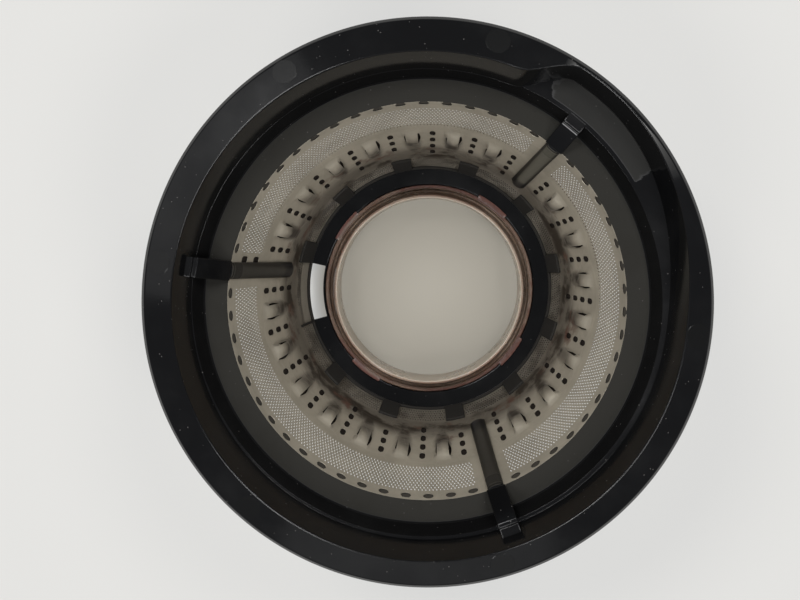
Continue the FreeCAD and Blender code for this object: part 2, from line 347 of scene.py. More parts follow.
def select_faces(piece, chosen):
    """Enters edit mode with only the chosen faces selected."""
    choose(piece)
    bpy.ops.object.mode_set(mode="EDIT")
    bpy.ops.mesh.select_mode(type="FACE")
    bpy.ops.mesh.select_all(action="DESELECT")
    bpy.ops.object.mode_set(mode="OBJECT")
    piece.data.polygons.foreach_set("select", chosen)
    bpy.ops.object.mode_set(mode="EDIT")


def delete_faces(piece, chosen):
    select_faces(piece, chosen)
    bpy.ops.mesh.delete(type="FACE")
    bpy.ops.object.mode_set(mode="OBJECT")


# %% Roll a grid into a cone
def roll(piece, radius_at):
    """Wraps a flat piece, degrees by heights, round the axis; its own Z is a push towards the axis."""
    points = read_points(piece)
    turn = np.radians(points[:, 0])
    radius = radius_at(points[:, 1]) - points[:, 2]
    points = np.stack([radius * np.cos(turn), radius * np.sin(turn), points[:, 1]], axis=1)
    write_points(piece, points)


def face_out(piece):
    """Makes an open rolled sheet face away from the axis."""
    choose(piece)
    bpy.ops.object.mode_set(mode="EDIT")
    close_mesh()
    face = piece.data.polygons[0]
    if face.normal.x * face.center.x + face.normal.y * face.center.y < 0:
        bpy.ops.object.mode_set(mode="EDIT")
        bpy.ops.mesh.select_all(action="SELECT")
        bpy.ops.mesh.flip_normals()
        bpy.ops.object.mode_set(mode="OBJECT")


def make_wall(piece, off_steel, wall, edge):
    """Rolls a grid at a distance off the steel's inner face and gives it a wall with soft edges."""
    roll(piece, lambda z: steel_r(z) + off_steel)
    face_out(piece)
    apply_modifier(piece, "SOLIDIFY", thickness=wall * MM, offset=1, use_even_offset=True)
    bevel(piece, edge, turn=50)
    smooth(piece)
    even_shading(piece)
    report_piece(piece)


# %% Model the cage
CAGE_GAP, CAGE_WALL, CAGE_EDGE = 0.46, 1.6, 0.45
WINDOW_FIRST, WINDOW_PITCH, WINDOW_HALF = 6.3, 30, 10.75
WINDOW_LOW, WINDOW_TOP = FLOOR + 0.9, FLOOR + 11.1
OUTLET_MIDDLE, OUTLET_WIDTH = 190.7, 27.6
UPRIGHT_HALF = 4.6
MESH_TOP, MESH_LOW = LEDGE - 5.4, LEDGE - 20.2
HOOP_TOP = MESH_LOW - 5.0
GRID_TURN, GRID_RISE = 2.5, 4.0
windows = [(WINDOW_FIRST + WINDOW_PITCH * index) % 360 for index in range(360 // WINDOW_PITCH)]
windows = [middle for middle in windows if abs(middle - OUTLET_MIDDLE) > WINDOW_PITCH / 2]
window_edges = [(middle + side * WINDOW_HALF) % 360 for middle in windows for side in (-1, 1)]


def away(degrees, middle, pitch=360):
    """Signed angle from a direction, or from the nearest of a row of them."""
    return (degrees - middle + pitch / 2) % pitch - pitch / 2


def rib_away(degrees):
    """Angle from the nearest rib."""
    return np.abs(away(degrees, RIBS[0], RIB_PITCH))


def in_window(degrees):
    return np.any([np.abs(away(degrees, middle)) < WINDOW_HALF for middle in windows], axis=0)


upright_edges = [rib + side * UPRIGHT_HALF for rib in RIBS for side in (-1, 1)]
cage_columns = fill_gaps([0.0, 360.0] + upright_edges + window_edges, GRID_TURN)
cage_rows = fill_gaps([FLOOR, WINDOW_LOW, WINDOW_TOP, HOOP_TOP, MESH_TOP, LEDGE_LOW + 0.4], GRID_RISE)
cage = flat_grid("cage", cage_columns, cage_rows)
degrees, z = face_middles(cage)
tall = within(z, HOOP_TOP, MESH_TOP) & (rib_away(degrees) > UPRIGHT_HALF)
low = within(z, WINDOW_LOW, WINDOW_TOP) & in_window(degrees)
delete_faces(cage, tall | low)
make_wall(cage, CAGE_GAP, CAGE_WALL, CAGE_EDGE)

# %% [markdown]
# ## Posts and sill
# The moulding also grips the steel's lower edge from inside: a low sill runs round at the floor, and
# short posts stand on it between the low windows. A grid of their own is rolled as the cage was, just
# inside the steel, so that the sheet lies between two walls, as it does in the mould.

# %% Model the posts between the low windows
POST_GAP, POST_WALL, POST_EDGE = 0.04, 0.8, 0.25
outlet_edges = [OUTLET_MIDDLE + side * OUTLET_WIDTH / 2 for side in (-1, 1)]
post_columns = fill_gaps([0.0, 360.0] + outlet_edges + window_edges, GRID_TURN)
posts = flat_grid("posts", post_columns, [FLOOR, WINDOW_LOW, WINDOW_TOP])
degrees, z = face_middles(posts)
open_part = in_window(degrees) | (np.abs(away(degrees, OUTLET_MIDDLE)) < OUTLET_WIDTH / 2)
delete_faces(posts, open_part & (z > WINDOW_LOW))
make_wall(posts, -(POST_GAP + POST_WALL), POST_WALL, POST_EDGE)

# %% [markdown]
# ## Floor, hub and foot
# The floor, the hub that grips the soft ring and the foot below are turned in one section. The outlet
# beside the hub, four notches for the ring's lugs and the doorway in the foot are not round, so blocks of
# their size are subtracted with a Boolean. The upper blocks are joined first and go in one cut, because
# cuts that follow one another on the same faces can fail.

# %% Spin the floor
HUB_R, HUB_OUTER_R, HUB_DEEP = 28.3, 30.2, 9.5
RECESS_R, RECESS_DEEP = 29.7, 1.5
FLOOR_THICK, FLOOR_BACK_R = 2.5, steel_r(FLOOR) + STEEL_BACK
FOOT_R, FOOT_WALL = steel_r(FLOOR) + CAGE_GAP + CAGE_WALL + 1.5, 2.2
floor_section = rounded([
    (HUB_R, FLOOR - HUB_DEEP, 0.3),  # the hub and the recess for the ring's flange
    (HUB_R, FLOOR - RECESS_DEEP, 0),
    (RECESS_R, FLOOR - RECESS_DEEP, 0),
    (RECESS_R, FLOOR, 0.3),
    (FLOOR_BACK_R + 1.2, FLOOR, 0),  # the floor and the foot
    (FOOT_R, FLOOR, 0.5),
    (FOOT_R, 0, 0.6),
    (FOOT_R - FOOT_WALL, 0, 0.4),
    (FOOT_R - FOOT_WALL, FLOOR - FLOOR_THICK, 0.8),
    (HUB_OUTER_R, FLOOR - FLOOR_THICK, 0.6),
    (HUB_OUTER_R, FLOOR - HUB_DEEP, 0.4),
], points=4)
floor = turned("floor", floor_section, steps=240)
report_piece(floor)

# %% Cut the outlet, the notches and the doorway
LUG_START, LUG_WIDTH, LUG_COUNT, LUG_FIT = 61.8, 18.5, 4, 0.4
lug_directions = [LUG_START + 360 / LUG_COUNT * index for index in range(LUG_COUNT)]
# The cutters stay a hair off the turned faces, because a Boolean is unsure of faces that coincide.
CUT_OVER, NOTCH_LIFT = 2, 0.03
PASSAGE_RADII, PASSAGE_DEEP = (HUB_OUTER_R + 0.08, FLOOR_BACK_R - 0.02), 5
NOTCH_RADII = HUB_R - 0.5, RECESS_R + 0.9
DOOR_RADII, DOOR_TOP, DOOR_FIT = (FOOT_R - 4, FOOT_R + CUT_OVER), FLOOR - 3.4, 0.3


def turn_mesh(piece, degrees):
    """Turns a mesh about the axis and leaves its object unturned."""
    piece.data.transform(Matrix.Rotation(math.radians(degrees), 4, "Z"))


def sector_block(name, radii, heights, middle, width, steps):
    """Block between two radii, two heights and two directions."""
    (r_in, r_out), (z_low, z_high) = radii, heights
    piece = draw_section(name, [(r_in, z_low), (r_out, z_low), (r_out, z_high), (r_in, z_high)])
    bpy.ops.mesh.edge_face_add()
    bpy.ops.mesh.spin(steps=steps, angle=math.radians(width), center=(0, 0, 0), axis=(0, 0, 1))
    close_mesh()
    # The spin runs clockwise, so the block starts at its far side.
    turn_mesh(piece, middle + width / 2)
    return piece


def join(pieces, name):
    """Joins pieces into the first one."""
    clear_selection()
    for piece in pieces:
        piece.select_set(True)
    bpy.context.view_layer.objects.active = pieces[0]
    bpy.ops.object.join()
    return name_piece(name)


def subtract(piece, block):
    apply_modifier(piece, "BOOLEAN", operation="DIFFERENCE", object=block, solver="EXACT")
    bpy.data.objects.remove(block)


cutters = [sector_block("passage", PASSAGE_RADII, (FLOOR - PASSAGE_DEEP, FLOOR + CUT_OVER),
                        OUTLET_MIDDLE, OUTLET_WIDTH, steps=14)]
notch_heights = (FLOOR - RECESS_DEEP + NOTCH_LIFT, FLOOR + CUT_OVER)
for middle in lug_directions:
    cutters.append(sector_block("notch", NOTCH_RADII, notch_heights, middle, LUG_WIDTH + LUG_FIT, steps=10))
subtract(floor, join(cutters, "openings"))
doorway = sector_block("doorway", DOOR_RADII, (-CUT_OVER, DOOR_TOP), OUTLET_MIDDLE,
                       OUTLET_WIDTH - DOOR_FIT, steps=14)
subtract(floor, doorway)
smooth(floor)
report_piece(floor)

# %% [markdown]
# ## Ribs
# Three ribs run down inside the steel. Each has a head that braces the collar's wall on the ledge, with
# a fine step at its top, and a bar that rises off the steel towards a blunt nose. A rib is built from
# side outlines that are filled, extruded to their width and bevelled. One of the three stands in the
# pocket, so its head is lower, and the ribs are modelled one by one rather than copied.

# %% Outlines of bar and head
NOSE_Z, STEEL_TOUCH = 31.0, 0.03
# Height above the nose, and how far the crown stands off the steel there.
BAR_RISES = [(0, -0.02), (1, 0.9), (3, 1.7), (7, 2.3), (15, 2.55), (29, 1.8), (39, 1.2)]
BAR_OVER, BAR_END_R = 0.9, 50.0
HEAD_SINK, HEAD_STEP, HEAD_FOOT_R = 0.1, 0.7, 52.8


def skin(z):
    """Radius just inside the steel."""
    return steel_r(z) - STEEL_TOUCH


def head_outline(front_r, step_r, back_r, top):
    return [
        (skin(LEDGE) - 0.1, LEDGE - HEAD_SINK),
        (skin(LEDGE) - 0.5, LEDGE + 1.1),
        (front_r, top - HEAD_STEP),
        (step_r, top - HEAD_STEP),
        (step_r, top),
        (back_r, top),
        (HEAD_FOOT_R, LEDGE - HEAD_SINK),
    ]


bar_outline = [(skin(NOSE_Z + above) - rise, NOSE_Z + above) for above, rise in BAR_RISES]
bar_outline += [(skin(LEDGE) - 0.8, LEDGE + BAR_OVER), (BAR_END_R, LEDGE + BAR_OVER),
                (skin(LEDGE) + 0.5, LEDGE - HEAD_SINK)]
tall_head = head_outline(front_r=52.6, step_r=53.6, back_r=56.4, top=LEDGE + 9.7)
low_head = head_outline(front_r=51.0, step_r=51.9, back_r=54.5, top=STEP + 0.1)
print("outline points of bar", len(bar_outline), "and head", len(tall_head))

# %% Model the three ribs
NOSE_WIDTH, CROWN_WIDTH, HEAD_WIDTH, HEAD_EDGE = 4.0, 3.9, 4.7, 0.25
BAR_CUTS, CROWN_FALL = 10, 0.6
POCKET_RIB = RIBS[0]


def slab(name, outline, low_width, high_width, cuts=1):
    """Outline of (r, z) points, extruded sideways to a width that changes with height."""
    piece = draw_section(name, outline)
    bpy.ops.mesh.edge_face_add()
    bpy.ops.transform.translate(value=(0, -0.5 * MM, 0))
    for _ in range(cuts):
        bpy.ops.mesh.extrude_region_move(TRANSFORM_OT_translate={"value": (0, MM / cuts, 0)})
    close_mesh()
    points = read_points(piece)
    z_low, z_high = min(corner[1] for corner in outline), max(corner[1] for corner in outline)
    share = (points[:, 2] - z_low) / (z_high - z_low)
    points[:, 1] *= low_width + (high_width - low_width) * share
    write_points(piece, points)
    return piece


def round_crown(bar):
    """Lets the bar's crown fall off towards its sides, more where it stands higher off the steel."""
    points = read_points(bar)
    rise = np.maximum(skin(points[:, 2]) - points[:, 0], 0)
    half = np.abs(points[:, 1]) / np.abs(points[:, 1]).max()
    points[:, 0] += rise * CROWN_FALL * half ** 3
    write_points(bar, points)
    smooth(bar, 50)


def model_rib(name, direction):
    """Bar and head as one piece; the rib in the pocket has a head that ends at the pocket's floor."""
    bar = slab("bar", bar_outline, NOSE_WIDTH, CROWN_WIDTH, BAR_CUTS)
    round_crown(bar)
    outline = low_head if direction == POCKET_RIB else tall_head
    head = slab("head", outline, HEAD_WIDTH, HEAD_WIDTH)
    bevel(head, HEAD_EDGE, segments=3, turn=40)
    smooth(head, 40)
    even_shading(head)
    piece = join([bar, head], name)
    turn_mesh(piece, direction)
    return piece


rib_pieces = [model_rib("rib_" + str(index + 1), direction) for index, direction in enumerate(RIBS)]
report_piece(rib_pieces[0])

# %% [markdown]
# ## Marks of the ejector pins
# Where pins push a moulding out of its mould they leave faint flat discs. Six of them lie on the
# flange. Each is a thin cylinder with a bevelled rim, tilted to the flange and sunk almost flush. The
# flange starts where the winding wall ends, so every disc has its own slope and height.

# %% Press the pin marks
MARK_R, MARK_MIDDLE_R, MARK_THICK, MARK_SINK, MARK_EDGE = 2.8, 60.3, 0.5, 0.22, 0.05
MARK_DIRECTIONS = (179.8, 130.2, 84.0, 3.3, 238.0, 296.0)
marks = []
for direction in MARK_DIRECTIONS:
    clear_selection()
    bpy.ops.mesh.primitive_cylinder_add(vertices=48, radius=MARK_R * MM, depth=MARK_THICK * MM)
    mark = name_piece("mark")
    flange_start = COLLAR_TOP_R + float(wall_shift(np.array(direction)))
    slope = (FLANGE_DROP - FLANGE_ROUND) / (FLANGE_END_R - flange_start)
    mark_z = RIM - slope * (MARK_MIDDLE_R - flange_start) - MARK_SINK
    place = Matrix.Translation((MARK_MIDDLE_R * MM, 0, mark_z * MM))
    mark.data.transform(place @ Matrix.Rotation(math.atan(slope), 4, "Y"))
    turn_mesh(mark, direction)
    bevel(mark, MARK_EDGE)
    marks.append(mark)
pin_marks = join(marks, "pin_marks")
smooth(pin_marks, 15)
report_piece(pin_marks)

# %% [markdown]
# ## Perforated steel
# The steel is one sheet with many openings: locking holes along its upper edge, a band of fine slots,
# groups of larger slots, torn slits beside pressed bumps, and low windows of fine slots. It is modelled
# flat, degree by height, as the sheet is before it is rolled: a grid whose lines fit every opening. Faces
# of the fine slots are inset and their middles deleted, larger openings are deleted and their outlines
# rounded, bumps are pushed out of the plane, and only then the sheet is rolled and given its thickness.
# Three sectors meet under the ribs.

# %% Lay out the grid
COLUMN, SECTOR_COLUMNS = 5 / 9, 216
SLOT_COUNT, SLOT_DROP, SLOT_PITCH, SLOT_HALF = 4, 7.3, 6.133, 2.2
slot_rows = [MESH_LOW - SLOT_DROP - SLOT_PITCH * row for row in range(SLOT_COUNT)]
WINDOW_ROWS, MESH_ROWS, EDGE_ROWS = 6, 11, 11
STEEL_TOP = LEDGE - 0.2
# Every stop is a height and the number of rows from there to the next one.
row_stops = [(FLOOR + SHEET_FIT, 1), (WINDOW_LOW, WINDOW_ROWS), (WINDOW_TOP, 4)]
for z in reversed(slot_rows):
    row_stops += [(z - SLOT_HALF, 4), (z + SLOT_HALF, 3)]
row_stops[-1] = (slot_rows[0] + SLOT_HALF, 6)
row_stops += [(MESH_LOW, MESH_ROWS), (MESH_TOP, EDGE_ROWS), (STEEL_TOP, 0)]
steel_rows = []
for (low_z, count), (high_z, _) in zip(row_stops, row_stops[1:]):
    steel_rows += [low_z + (high_z - low_z) * part / count for part in range(count)]
steel_rows.append(STEEL_TOP)
print("steel grid", SECTOR_COLUMNS, "columns", len(steel_rows) - 1, "rows per sector")

# %% Fine slots
MESH_MARGIN = 10 * COLUMN
WINDOW_MARGIN, WINDOW_LINTEL = 0.3, 1.7
OUTLET_MARGIN, OUTLET_WINDOW = 1.5, 5.2


def staggered(degrees, z, low, high, rows):
    """True for every second face of a band, staggered from row to row."""
    column = np.floor(degrees / COLUMN).astype(int)
    row = np.floor((z - low) / (high - low) * rows).astype(int)
    return within(z, low, high) & ((column + row) % 2 == 0)


def fine_slot(degrees, z):
    """True for the faces that hold a fine slot; above the outlet only a short window is left."""
    band = staggered(degrees, z, MESH_LOW, MESH_TOP, MESH_ROWS) & (rib_away(degrees) > MESH_MARGIN)
    across = np.abs(away(degrees, WINDOW_FIRST, WINDOW_PITCH))
    window = staggered(degrees, z, WINDOW_LOW, WINDOW_TOP, WINDOW_ROWS)
    window &= (z < WINDOW_TOP - WINDOW_LINTEL) & (across < WINDOW_HALF - WINDOW_MARGIN)
    at_outlet = np.abs(away(degrees, OUTLET_MIDDLE)) < OUTLET_WIDTH / 2 + OUTLET_MARGIN
    return band | (window & (~at_outlet | (z > WINDOW_TOP - OUTLET_WINDOW)))


print("fine band from", round(MESH_LOW, 1), "to", round(MESH_TOP, 1))

# %% Locking holes
LOCK_PITCH, LOCK_R, LOCK_TALL = 360 / 54, 1.26, 1.2
LOCK_DROP, LOCK_SWAY, LOCK_DEEPEST = 1.95, 0.6, 262.0
LOCK_KEPT, LOCK_FROM, LOCK_TO = 0.08, 0.62, 0.2
EDGE_LEFT, TOUCH = 0.02, 0.01


def lock_middle(degrees):
    """Direction and height of the nearest locking hole; the sheet sits a little askew in the ledge."""
    middle = np.rint(degrees / LOCK_PITCH) * LOCK_PITCH
    return middle, LEDGE - LOCK_DROP - LOCK_SWAY * np.cos(np.radians(middle - LOCK_DEEPEST))


def near_lock(degrees, z):
    """Distance from the nearest locking hole's middle, measured less along its taller axis."""
    middle, level = lock_middle(degrees)
    return np.hypot(np.radians(away(degrees, middle)) * STEEL_TOP_R, (z - level) / LOCK_TALL)


def round_locks(points, degrees, z):
    """Moves the points near a locking hole's rim onto its outline."""
    gap = near_lock(degrees, z)
    close = within(gap, LOCK_R - LOCK_FROM, LOCK_R + LOCK_TO) & (z < STEEL_TOP - TOUCH)
    middle, level = lock_middle(degrees)
    grow = np.where(close, LOCK_R / np.maximum(gap, TOUCH), 1)
    points[:, 0] = middle + (degrees - middle) * grow
    points[:, 1] = np.where(close, np.minimum(level + (z - level) * grow, STEEL_TOP - EDGE_LEFT), z)


print("locking holes", round(360 / LOCK_PITCH))

# %% Larger slots and root holes
BUMP_PITCH = 15.0
SLOT_SIDE, SLOT_WIDER, SLOT_ROUND = 1.5 * COLUMN, 0.36 * COLUMN, 0.55
# Beside one rib two of the holes through which its plastic grips the sheet stay in sight.
ROOT_MIDDLE, ROOT_HALF, ROOT_ROUND = RIBS[1] - 6 * COLUMN, 2 * COLUMN, 0.7
ROOT_ROWS, ROOT_STARTS = 3, (1, 7)
MESH_ROW = (MESH_TOP - MESH_LOW) / MESH_ROWS
root_holes = [(MESH_LOW + MESH_ROW * low, MESH_LOW + MESH_ROW * (low + ROOT_ROWS)) for low in ROOT_STARTS]
print("slot rows at", [round(z, 1) for z in slot_rows])


def slot_away(degrees):
    """Signed angle from the nearest group of slots, which lies midway between two bumps."""
    return away(degrees, BUMP_PITCH / 2, BUMP_PITCH)


def has_slot(degrees, row):
    """Groups hold four and three slots in turn, so the last row has one in every second group."""
    return (row < SLOT_COUNT - 1) | (np.floor(degrees / BUMP_PITCH) % 2 == 0)


def open_slot(degrees, z):
    """True for the faces of the larger slots and of the root holes."""
    inside = np.zeros(len(z), dtype=bool)
    for row, middle in enumerate(slot_rows):
        inside |= has_slot(degrees, row) & (np.abs(z - middle) < SLOT_HALF)
    inside &= np.abs(slot_away(degrees)) < SLOT_SIDE
    for low_z, high_z in root_holes:
        inside |= (np.abs(away(degrees, ROOT_MIDDLE)) < ROOT_HALF) & within(z, low_z, high_z)
    return inside


def round_slots(points, degrees, z):
    """Draws the corners of the larger openings in and pulls the slots' sides out."""
    across = slot_away(degrees)
    on_side = np.abs(np.abs(across) - SLOT_SIDE) < TOUCH
    for row, level in enumerate(slot_rows):
        fits = has_slot(degrees, row) & on_side
        beside = fits & (np.abs(z - level) < SLOT_HALF - 0.1)
        points[:, 0] += np.where(beside, np.sign(across) * SLOT_WIDER, 0)
        for side in (-1, 1):
            at_end = fits & (np.abs(z - level - side * SLOT_HALF) < TOUCH)
            points[:, 1] = np.where(at_end, level + side * (SLOT_HALF - SLOT_ROUND), points[:, 1])
    at_corner = np.abs(np.abs(away(degrees, ROOT_MIDDLE)) - ROOT_HALF) < TOUCH
    for low_z, high_z in root_holes:
        for level, lift in ((low_z, ROOT_ROUND), (high_z, -ROOT_ROUND)):
            at_end = at_corner & (np.abs(z - level) < TOUCH)
            points[:, 1] = np.where(at_end, level + lift, points[:, 1])


# %% Bumps
BUMP_TOP, BUMP_LOW, BUMP_RISE = MESH_LOW - 4.0, WINDOW_TOP + 7.0, 1.6
BUMP_FULL, BUMP_FALL = BUMP_TOP - 3.0, BUMP_TOP - 2.2
BUMP_COLUMNS, BUMP_ROUND = 4, 0.3
BUMP_UNEVEN, UNEVEN_STEP = 0.22, 2.4
BUMP_LEAN, LEAN_STEP = 0.28, 1.7


def bump_away(degrees):
    """Signed angle from the nearest bump's middle."""
    return away(degrees, 0, BUMP_PITCH)


def has_bump(degrees):
    return rib_away(degrees) > BUMP_PITCH / 2


def bump_push(degrees, z):
    """How far each point of the flat sheet is pressed towards the axis."""
    across = bump_away(degrees) / COLUMN
    number = np.rint(degrees / BUMP_PITCH)
    # The presses wear unevenly, so each bump is a little higher or lower and leans to one side.
    uneven = 1 + BUMP_UNEVEN * np.sin(UNEVEN_STEP * number)
    uneven += BUMP_LEAN * np.sin(LEAN_STEP * number) * across / BUMP_COLUMNS
    crown = uneven * (1 - BUMP_ROUND * (across / BUMP_COLUMNS) ** 2)
    crown = np.where(np.abs(across) < BUMP_COLUMNS + 0.5, crown, 0)
    along = ease(BUMP_LOW, BUMP_FULL, z) * (1 - ease(BUMP_FALL, BUMP_TOP, z))
    return np.where(has_bump(degrees), BUMP_RISE * crown * along, 0)


# %% Torn slits beside the bumps
SLIT_TOP, SLIT_END, GAPE_DIRECTION = BUMP_TOP - 1.2, BUMP_TOP - 10.4, 234.3
# Columns by which the gaping side, the closed side and the pointed ends differ from one column.
SLIT_WIDE, SLIT_NARROW, SLIT_POINT = 0.9, -0.35, -0.85
SLIT_SAG = 0.75
torn_rows = [(low, high) for low, high in zip(steel_rows, steel_rows[1:])
             if SLIT_END < (low + high) / 2 < SLIT_TOP]
slit_low, slit_high = torn_rows[0][0], torn_rows[-1][1]
print("slits from", round(slit_low, 1), "to", round(slit_high, 1))


def side_slit(degrees, z):
    """True for the faces beside a bump where the sheet is torn open."""
    across = np.abs(bump_away(degrees)) / COLUMN
    return has_bump(degrees) & within(z, SLIT_END, SLIT_TOP) & within(across, BUMP_COLUMNS, BUMP_COLUMNS + 1)


def slit_widening(degrees, z):
    """How far, in degrees, the outer edge of a side slit is pulled away from its bump."""
    from_bump = bump_away(degrees)
    at_edge = has_bump(degrees) & (np.abs(np.abs(from_bump) / COLUMN - BUMP_COLUMNS - 1) < TOUCH)
    at_edge &= within(z, slit_low - TOUCH, slit_high + TOUCH)
    # The press leans one way across the whole basket, so one slit of each pair gapes more.
    gape = np.sign(from_bump) * np.cos(np.radians(degrees - GAPE_DIRECTION))
    widest = SLIT_NARROW + (SLIT_WIDE - SLIT_NARROW) * (1 + gape) / 2
    share = np.clip((z - slit_low) / (slit_high - slit_low), 0, 1) ** SLIT_SAG
    pull = SLIT_POINT + (widest - SLIT_POINT) * np.sin(math.pi * share)
    return np.where(at_edge, np.sign(from_bump) * pull * COLUMN, 0)


# %% Model the three sectors
SHEET, SLIT_EDGE, SLIT_SLANT = 0.2, 0.095, 0.14
# Flat lengths for the inset: degrees become millimetres at the fine band.
FLAT_DEGREE = math.radians(1) * steel_r((MESH_LOW + MESH_TOP) / 2)


def cut_larger_openings(piece):
    degrees, z = face_middles(piece)
    locks = near_lock(degrees, z) < LOCK_R - LOCK_KEPT
    delete_faces(piece, open_slot(degrees, z) | side_slit(degrees, z) | locks)
    points = read_points(piece)
    degrees, z = points[:, 0].copy(), points[:, 1].copy()
    round_locks(points, degrees, z)
    points[:, 0] += slit_widening(degrees, z)
    round_slots(points, degrees, z)
    points[:, 0] *= FLAT_DEGREE
    write_points(piece, points)


def cut_fine_slots(piece):
    """Insets the faces of the fine slots and deletes their middles; each slot leans a little."""
    degrees, z = face_middles(piece)
    select_faces(piece, fine_slot(degrees / FLAT_DEGREE, z))
    plain = len(piece.data.vertices)
    bpy.ops.mesh.inset(thickness=SLIT_EDGE * MM, use_individual=True)
    bpy.ops.mesh.delete(type="FACE")
    bpy.ops.object.mode_set(mode="OBJECT")
    points = read_points(piece)
    points[:, 0] /= FLAT_DEGREE
    # The inset's own points come last: a slot's upper end moves a little further round.
    rows, z = np.array(steel_rows), points[plain:, 1]
    above = np.clip(np.searchsorted(rows, z), 1, len(rows) - 1)
    share = (z - rows[above - 1]) / (rows[above] - rows[above - 1])
    points[plain:, 0] += (share - 0.5) * SLIT_SLANT
    points[:, 2] = bump_push(points[:, 0], points[:, 1])
    write_points(piece, points)


def steel_sector(name, start):
    columns = [start + COLUMN * index for index in range(SECTOR_COLUMNS + 1)]
    piece = flat_grid(name, columns, steel_rows)
    cut_larger_openings(piece)
    cut_fine_slots(piece)
    roll(piece, steel_r)
    face_out(piece)
    apply_modifier(piece, "SOLIDIFY", thickness=SHEET * MM, offset=1)
    smooth(piece, 40)
    report_piece(piece)
    return piece


steel_pieces = [steel_sector("steel_" + str(index + 1), rib) for index, rib in enumerate(RIBS)]

# %% [markdown]
# ## Soft sealing ring
# The ring is moulded in one piece: a straight bore, a lip that stands up, two fine ridges with a groove
# between them, and a flat flange with four lugs that key it into the floor. The section is spun, and the
# lugs are short sector blocks with bevelled edges.

# %% Spin the ring
BORE_R, SEAL_BODY_R, SEAL_FLANGE_R = 25.8, 28.2, 29.6
LUG_IN_R, LUG_OUT_R, LUG_EDGE = 28.9, 30.45, 0.2
seal_section = rounded([
    (BORE_R, SEAL_LOW, 0.4),  # the body in the hub, and the flange in the recess
    (SEAL_BODY_R, SEAL_LOW, 0.4),
    (SEAL_BODY_R, FLOOR - RECESS_DEEP, 0),
    (SEAL_FLANGE_R, FLOOR - RECESS_DEEP, 0),
    (SEAL_FLANGE_R, FLOOR, 0.35),
    (28.85, FLOOR, 0.1),  # two ridges with a groove between them
    (28.65, FLOOR + 0.35, 0.1),
    (28.45, FLOOR - 0.2, 0),
    (28.25, FLOOR - 0.6, 0),
    (28.05, FLOOR + 0.5, 0.12),
    (27.65, FLOOR + 0.6, 0.15),
    (26.95, SEAL_TOP - 1.2, 0.3),  # the lip
    (26.55, SEAL_TOP, 0.25),
    (BORE_R, SEAL_TOP, 0.3),
], points=4)
seal_parts = [turned("seal", seal_section, steps=240)]
for middle in lug_directions:
    lug = sector_block("lug", (LUG_IN_R, LUG_OUT_R), (FLOOR - RECESS_DEEP + 0.05, FLOOR + 0.02),
                       middle, LUG_WIDTH, steps=12)
    bevel(lug, LUG_EDGE)
    seal_parts.append(lug)
seal = join(seal_parts, "seal")
smooth(seal)
report_piece(seal)

# %% [markdown]
# ## Shared effects
# Dust, cloudy stains and fine scratches touch more than one material, so each is a node group with named
# inputs. A group only puts out masks; every material decides what colour or roughness they change.

# %% Node helpers
MIX_SOCKETS = 0, 6, 7


def feed(tree, value, socket):
    """Sets a socket to a number or a colour, or links another node's output to it."""
    if isinstance(value, (int, float, tuple)):
        socket.default_value = value
    else:
        tree.links.new(value, socket)


def feed_all(tree, node, values):
    for key, value in values.items():
        feed(tree, value, node.inputs[key])


def add_node(tree, kind, values, **settings):
    node = tree.nodes.new(kind)
    for key, value in settings.items():
        setattr(node, key, value)
    feed_all(tree, node, values)
    return node


def math_node(tree, operation, *values):
    node = add_node(tree, "ShaderNodeMath", dict(enumerate(values)), operation=operation)
    return node.outputs[0]


def chain(tree, operation, values):
    """Joins values one after another with the same operation."""
    result = values[0]
    for value in values[1:]:
        result = math_node(tree, operation, result, value)
    return result


def times(tree, *values):
    return chain(tree, "MULTIPLY", values)


def plus(tree, *values):
    return chain(tree, "ADD", values)


def most(tree, *values):
    return chain(tree, "MAXIMUM", values)


def map_range(tree, value, low, high, to_low=0.0, to_high=1.0):
    values = {"Value": value, "From Min": low, "From Max": high, "To Min": to_low, "To Max": to_high}
    node = add_node(tree, "ShaderNodeMapRange", values, interpolation_type="SMOOTHSTEP")
    return node.outputs["Result"]


def between(tree, mask, at_none, at_full):
    """A value that a mask moves from one number to another."""
    return map_range(tree, mask, 0, 1, at_none, at_full)


def fade(tree, length, none, full, at_none=0.0, at_full=1.0):
    """Mask of a length, 0 at the first measure in millimetres and 1 at the second, or other values."""
    return map_range(tree, length, none * MM, full * MM, at_none, at_full)


def mix_colour(tree, mask, first, second):
    values = dict(zip(MIX_SOCKETS, (mask, first, second)))
    return add_node(tree, "ShaderNodeMix", values, data_type="RGBA").outputs[2]


# %% Dust, stains and scratches
def new_group(name, inputs):
    """Empty node group with a Vector input, float inputs and one Mask output."""
    group = bpy.data.node_groups.new(name, "ShaderNodeTree")
    group.interface.new_socket("Vector", in_out="INPUT", socket_type="NodeSocketVector")
    for key, value in inputs.items():
        socket = group.interface.new_socket(key, in_out="INPUT", socket_type="NodeSocketFloat")
        socket.default_value = value
    group.interface.new_socket("Mask", in_out="OUTPUT", socket_type="NodeSocketFloat")
    mask = group.nodes.new("NodeGroupOutput").inputs["Mask"]
    return group, group.nodes.new("NodeGroupInput").outputs, mask


def use_group(tree, group, vector, **values):
    node = add_node(tree, "ShaderNodeGroup", {"Vector": vector, **values}, node_tree=group)
    return node.outputs["Mask"]


SPECK_EDGE, SPECK_CORE = 0.32, 0.12
dust, ins, mask = new_group("dust specks", {"Scale": 900.0, "Amount": 0.1})
cells = add_node(dust, "ShaderNodeTexVoronoi", {"Vector": ins["Vector"], "Scale": ins["Scale"]}, feature="F1")
pick = add_node(dust, "ShaderNodeSeparateColor", {"Color": cells.outputs["Color"]})
rare = math_node(dust, "LESS_THAN", pick.outputs["Red"], ins["Amount"])
speck = map_range(dust, cells.outputs["Distance"], SPECK_EDGE, SPECK_CORE)
feed(dust, times(dust, rare, speck), mask)

